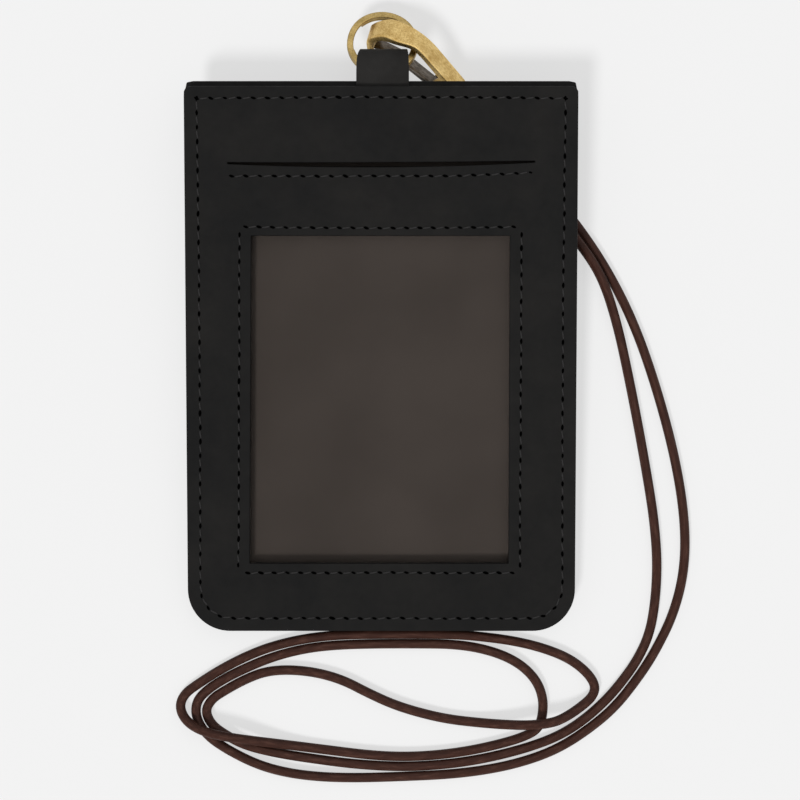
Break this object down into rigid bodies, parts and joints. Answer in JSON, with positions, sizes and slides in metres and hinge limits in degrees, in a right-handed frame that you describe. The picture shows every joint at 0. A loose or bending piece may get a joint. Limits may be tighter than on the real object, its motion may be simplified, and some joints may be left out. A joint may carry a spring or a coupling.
{
  "type": "id badge wallet",
  "caption": "Stitched leather id badge wallet with a clear window and card slit, hung by a tab and split ring from a swivel clasp on a coiled waxed neck cord.",
  "frame": {"origin": "centre of the base of the wallet, ring and clasp, on the table", "axes": "+X across the wallet to the right, +Y up the wallet from its bottom edge to the ring, +Z out of the window, away from the table"},
  "size_m": [0.1073, 0.1607, 0.0125],
  "materials": {
    "panel_leather": "smooth black leather with a soft sheen",
    "tab_leather": "thin black leather",
    "inner_leather": "black split leather",
    "lining_fabric": "grey-brown lining",
    "clear_film": "clear soft plastic film",
    "ring_brass": "dull brass-plated wire",
    "clasp_brass": "brushed brass",
    "gate_steel": "dull spring steel",
    "cap_brass": "brushed brass",
    "waxed_cord": "dark brown waxed cord"
  },
  "bodies": {
    "lanyard": {"swivel_eye": "clasp_brass", "end_cap": "cap_brass", "cord_lead_outer": "waxed_cord", "cord_loops": "waxed_cord", "cord_lead_inner": "waxed_cord"},
    "clasp": {"clasp_hook": "clasp_brass", "gate_pin": "clasp_brass"},
    "gate": {"gate": "gate_steel"},
    "ring": {"split_ring": "ring_brass"},
    "wallet": {"back_panel": "panel_leather", "back_lining": "lining_fabric", "edge_welt": "inner_leather", "front_panel": "panel_leather", "window_film": "clear_film", "slit_facing": "inner_leather", "hanging_tab": "tab_leather"}
  },
  "joints": [
    {"name": "swivel", "type": "hinge", "parent": "lanyard", "child": "clasp", "pos_m": [0.01275, 0.04962, 0.00471], "axis": [-0.6494, 0.7087, 0.2756], "continuous": true},
    {"name": "gate_hinge", "type": "hinge", "parent": "clasp", "child": "gate", "pos_m": [0.01104, 0.04948, 0.00321], "axis": [0.4663, 0.6575, -0.5918], "range_deg": [0, 7], "stiffness_Nm_per_rad": 0.01, "springref_deg": -5.73},
    {"name": "hook_swing", "type": "hinge", "parent": "clasp", "child": "ring", "pos_m": [0.00682, 0.05599, 0.00711], "axis": [-0.4663, -0.6575, 0.5918], "range_deg": [0, 40]},
    {"name": "tab_swing", "type": "hinge", "parent": "ring", "child": "wallet", "pos_m": [0.0003, 0.05225, 0.00877], "axis": [-1, 0, 0], "range_deg": [0, 18]}
  ]
}
